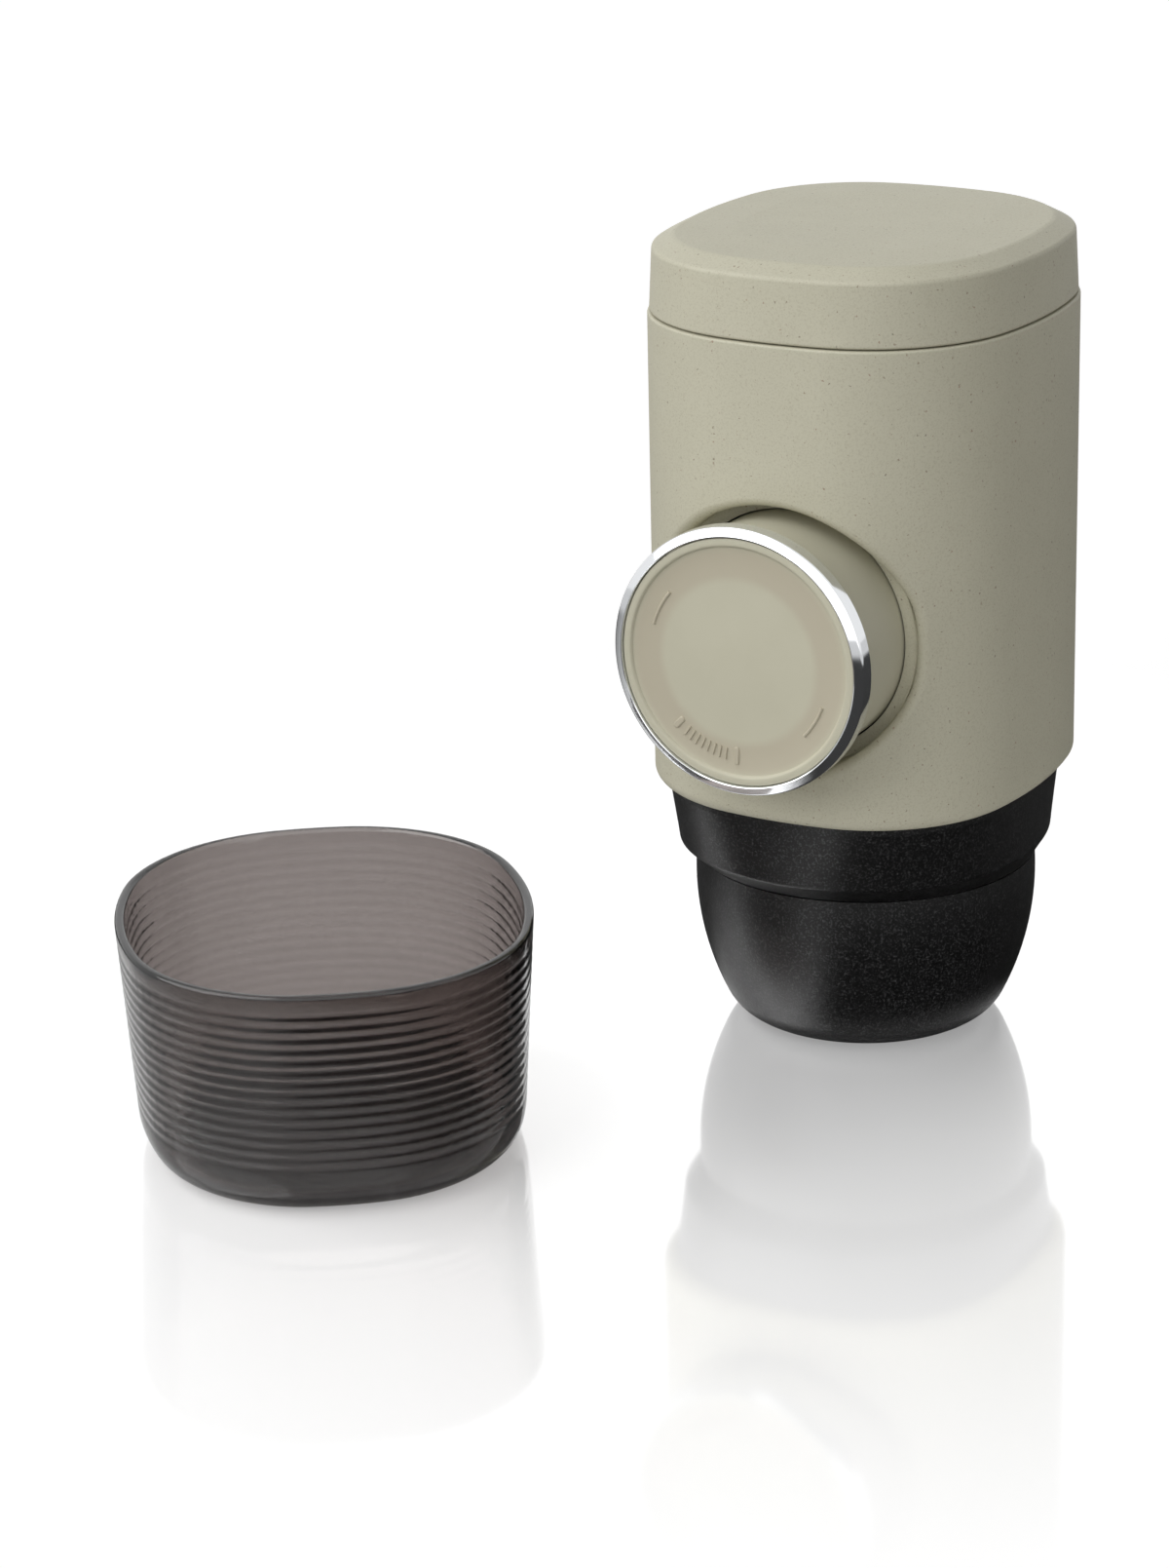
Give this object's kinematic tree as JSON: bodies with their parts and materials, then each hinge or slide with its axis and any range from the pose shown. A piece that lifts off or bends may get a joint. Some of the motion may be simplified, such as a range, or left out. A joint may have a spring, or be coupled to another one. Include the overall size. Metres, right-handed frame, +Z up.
{
  "type": "handheld manual espresso maker",
  "caption": "Pocket espresso maker pumped by hand: oblong two-tone body with water tank and lid, round pump knob on the front, capsule head below, and a ribbed cup beside it.",
  "frame": {"origin": "middle of the outlet head's flat base, on the machine's upright axis", "axes": "+Z up, the pump knob points along -Y, +X to the right seen from the knob's side"},
  "size_m": [0.1153, 0.1477, 0.1273],
  "materials": {
    "shell_plastic": "matte fibre-filled moulding with fine flecks",
    "knob_plastic": "smooth matte",
    "chrome": "bright plated ring",
    "black_plastic": "matte, fine grain",
    "smoked_plastic": "smoked translucent with fine ribs",
    "grey_plastic": "plain moulding",
    "clear_plastic": "translucent moulding",
    "steel": "plain steel",
    "steel_part": "turned",
    "rubber": "matt silicone"
  },
  "bodies": {
    "machine": {"body_shell": "shell_plastic", "base_ring": "black_plastic", "collar": "black_plastic", "chassis": "grey_plastic", "brew_head": "grey_plastic", "shower_plate": "steel", "piercing_pins": "steel", "capsule_seal": "rubber", "delivery_tube": "grey_plastic", "suction_tube": "grey_plastic", "pump_cylinder": "steel_part", "cylinder_gasket": "rubber", "valve_block": "grey_plastic", "inlet_valve": "rubber", "outlet_valve": "rubber", "knob_guide": "grey_plastic", "tank_liner": "clear_plastic", "tank_neck": "grey_plastic", "return_spring": "steel", "collar_screws": "steel", "guide_screws": "steel", "valve_screws": "steel"},
    "piston": {"piston_rod": "steel_part", "piston_head": "grey_plastic", "piston_seal": "rubber", "rod_clip": "steel"},
    "knob": {"knob_barrel": "knob_plastic", "knob_bezel": "chrome", "knob_face": "knob_plastic", "spring_washer": "steel"},
    "lid_seal": {"lid_gasket": "rubber"},
    "lid": {"tank_lid": "shell_plastic", "lid_plug": "grey_plastic", "vent_valve": "rubber"},
    "capsule_carrier": {"capsule_holder": "black_plastic", "holder_needles": "black_plastic", "holder_seal": "rubber"},
    "outlet_head": {"outlet_bowl": "black_plastic", "outlet_spout": "black_plastic"},
    "cup": {"cup": "smoked_plastic"}
  },
  "joints": [
    {"name": "piston_stroke", "type": "slide", "parent": "machine", "child": "piston", "axis": [0, 1, 0], "range_m": [0, 0.011], "stiffness_N_per_m": 450, "springref_m": -0.006, "deforming": ["return_spring"]},
    {"name": "knob_twist", "type": "hinge", "parent": "piston", "child": "knob", "pos_m": [0, 0, 0.0699], "axis": [0, 1, 0], "range_deg": [0, 45]},
    {"name": "lid_lift", "type": "slide", "parent": "machine", "child": "lid_seal", "axis": [0, 0, 1], "range_m": [0, 0.045]},
    {"name": "lid_turn", "type": "hinge", "parent": "lid_seal", "child": "lid", "pos_m": [0, 0, 0.1155], "axis": [0, 0, 1], "range_deg": [0, 90]},
    {"name": "head_drop", "type": "slide", "parent": "machine", "child": "capsule_carrier", "axis": [0, 0, -1], "range_m": [0, 0.05]},
    {"name": "head_turn", "type": "hinge", "parent": "capsule_carrier", "child": "outlet_head", "pos_m": [0, 0, 0], "axis": [0, 0, 1], "range_deg": [0, 45]},
    {"name": "cup_lift", "type": "slide", "parent": "machine", "child": "cup", "axis": [0, 0, 1], "range_m": [0, 0.06]}
  ]
}
